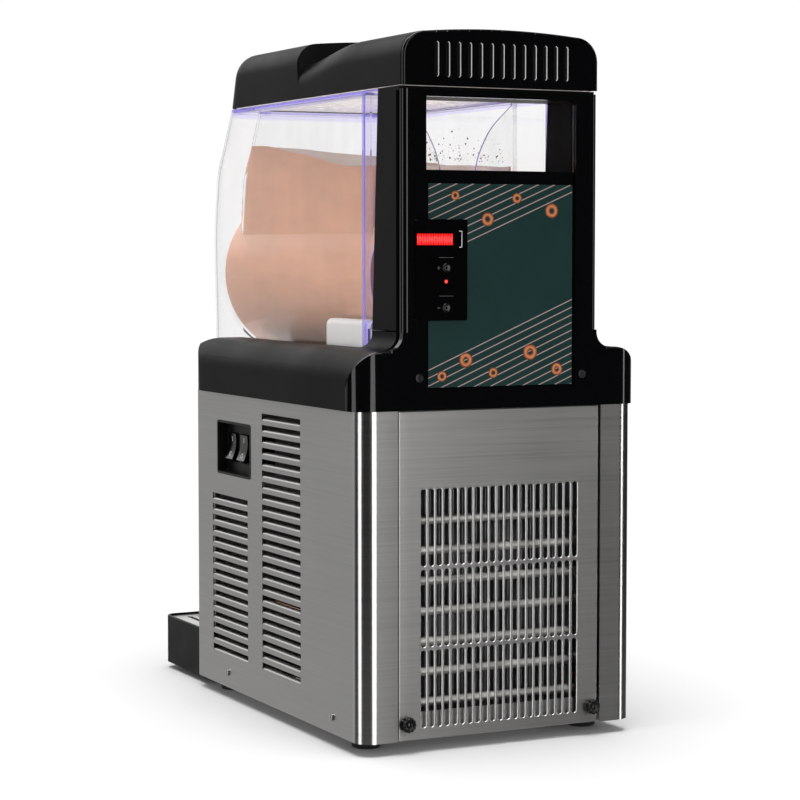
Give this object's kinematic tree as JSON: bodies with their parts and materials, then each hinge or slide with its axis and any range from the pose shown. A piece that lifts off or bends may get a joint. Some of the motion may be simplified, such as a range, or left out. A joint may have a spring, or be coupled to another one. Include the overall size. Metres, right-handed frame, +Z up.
{
  "type": "frozen drink dispenser",
  "caption": "Counter-top frozen drink dispenser: louvred steel cabinet, rear column with controls, double-walled clear bowl with auger and tap, lift-off lid and drip tray.",
  "frame": {"origin": "on the counter under the middle of the footprint, feet at z = 0", "axes": "+X is the operator's right seen from the front, +Y is the ventilated back, -Y the tap and drip tray, +Z up"},
  "size_m": [0.293, 0.5256, 0.6536],
  "materials": {
    "stainless": "fine brushed stainless sheet",
    "side_sheet": "grey satin sheet",
    "screw_steel": "bright turned steel",
    "black_rubber": "black rubber",
    "charcoal_plastic": "charcoal, fine matt grain",
    "gloss_black": "polished black",
    "black_plastic": "black",
    "picture_film": "dark green film with pale and brown motifs",
    "red_lens": "red ribbed lens",
    "key_plastic": "soft black keys",
    "board": "green board",
    "cream_diffuser": "cream translucent sheet",
    "led": "light strip",
    "clear_bowl": "clear moulded shell with bluish edges",
    "clear_tank": "clear moulded tank",
    "red_seal": "red silicone",
    "drink": "soft beige-brown frozen drink",
    "insulation": "white foam",
    "polished_steel": "polished stainless",
    "bush_plastic": "natural bearing plastic",
    "auger_plastic": "white food-grade plastic",
    "cast_gearbox": "cast alloy",
    "motor_can": "black enamel",
    "bracket_steel": "galvanised sheet",
    "copper": "copper",
    "fin_alloy": "thin bright fins",
    "fan_plastic": "grey-black fan plastic",
    "compressor_paint": "black enamel"
  },
  "bodies": {
    "machine": {"side_panel_right": "side_sheet", "side_panel_left": "side_sheet", "side_screws": "screw_steel", "floor_pan": "bracket_steel", "feet": "black_rubber", "front_panel": "stainless", "top_deck": "bracket_steel", "switch_housing": "black_plastic", "switch_cases": "black_plastic", "collar": "charcoal_plastic", "rear_frame": "gloss_black", "frame_screws": "screw_steel", "column_shell": "charcoal_plastic", "graphic_panel": "picture_film", "control_bezel": "black_plastic", "display_bar": "red_lens", "control_board": "board", "chiller_block": "insulation", "chiller": "polished_steel", "shaft_bushes": "bush_plastic", "shaft_seal": "red_seal", "gearbox": "cast_gearbox", "gear_motor": "motor_can", "motor_bracket": "bracket_steel", "condenser_coil": "copper", "condenser_fins": "fin_alloy", "condenser_frame": "bracket_steel", "fan_shroud": "bracket_steel", "fan_motor": "motor_can", "compressor": "compressor_paint", "compressor_mounts": "black_rubber", "filter_dryer": "copper", "dryer_clip": "bracket_steel", "refrigerant_pipes": "copper", "cord_gland": "black_plastic"},
    "rear_panel": {"rear_grille_panel": "side_sheet"},
    "knob_right": {"thumb_knob_right": "black_plastic"},
    "knob_left": {"thumb_knob_left": "black_plastic"},
    "lid": {"lid_shell": "charcoal_plastic", "lid_rear_panel": "gloss_black", "lid_diffuser": "cream_diffuser", "led_strip": "led"},
    "bowl": {"bowl_outer": "clear_bowl", "bowl_inner": "clear_tank", "bowl_gasket": "red_seal", "frappe_fill": "drink", "tap_body": "charcoal_plastic", "lever_pin": "polished_steel"},
    "piston": {"tap_piston": "auger_plastic", "piston_seals": "red_seal"},
    "lever": {"dispense_lever": "charcoal_plastic"},
    "auger": {"drive_shaft": "polished_steel", "auger": "auger_plastic"},
    "fan": {"fan_blades": "fan_plastic"},
    "switch_front": {"rocker_front": "black_plastic"},
    "switch_rear": {"rocker_rear": "black_plastic"},
    "key_up": {"key_upper": "key_plastic"},
    "key_low": {"key_lower": "key_plastic"},
    "tray": {"drip_tray": "black_plastic"},
    "grid": {"drip_grid": "stainless"}
  },
  "joints": [
    {"name": "rear_panel_pull", "type": "slide", "parent": "machine", "child": "rear_panel", "axis": [0, 1, 0], "range_m": [0, 0.06]},
    {"name": "knob_right_turn", "type": "hinge", "parent": "rear_panel", "child": "knob_right", "pos_m": [0.0955, 0.25615, 0.0275], "axis": [0, 1, 0], "continuous": true},
    {"name": "knob_left_turn", "type": "hinge", "parent": "rear_panel", "child": "knob_left", "pos_m": [-0.0955, 0.25615, 0.0275], "axis": [0, 1, 0], "continuous": true},
    {"name": "lid_lift", "type": "slide", "parent": "machine", "child": "lid", "axis": [0, 0, 1], "range_m": [0, 0.09]},
    {"name": "bowl_pull", "type": "slide", "parent": "machine", "child": "bowl", "axis": [0, -1, 0], "range_m": [0, 0.345]},
    {"name": "lever_swing", "type": "hinge", "parent": "bowl", "child": "lever", "pos_m": [0, -0.23685, 0.4425], "axis": [-1, 0, 0], "range_deg": [0, 40], "stiffness_Nm_per_rad": 0.3},
    {"name": "piston_lift", "type": "slide", "parent": "bowl", "child": "piston", "axis": [0, 0, 1], "range_m": [0, 0.0202]},
    {"name": "auger_turn", "type": "hinge", "parent": "machine", "child": "auger", "pos_m": [0, 0.00615, 0.427], "axis": [0, 1, 0], "continuous": true},
    {"name": "fan_turn", "type": "hinge", "parent": "machine", "child": "fan", "pos_m": [0, 0.20615, 0.126], "axis": [0, 1, 0], "continuous": true},
    {"name": "switch_front_rock", "type": "hinge", "parent": "machine", "child": "switch_front", "pos_m": [0.1265, -0.06085, 0.2535], "axis": [0, 1, 0], "range_deg": [0, 18]},
    {"name": "switch_rear_rock", "type": "hinge", "parent": "machine", "child": "switch_rear", "pos_m": [0.1265, -0.03085, 0.2535], "axis": [0, 1, 0], "range_deg": [0, 18]},
    {"name": "key_upper_press", "type": "slide", "parent": "machine", "child": "key_up", "axis": [0, -1, 0], "range_m": [0, 0.0008], "stiffness_N_per_m": 400},
    {"name": "key_lower_press", "type": "slide", "parent": "machine", "child": "key_low", "axis": [0, -1, 0], "range_m": [0, 0.0008], "stiffness_N_per_m": 400},
    {"name": "tray_pull", "type": "slide", "parent": "machine", "child": "tray", "axis": [0, -1, 0], "range_m": [0, 0.12]},
    {"name": "grid_lift", "type": "slide", "parent": "tray", "child": "grid", "axis": [0, 0, 1], "range_m": [0, 0.03]}
  ],
  "couplings": [
    {"joint": "piston_lift", "follows": "lever_swing", "m_per_rad": 0.0286}
  ]
}
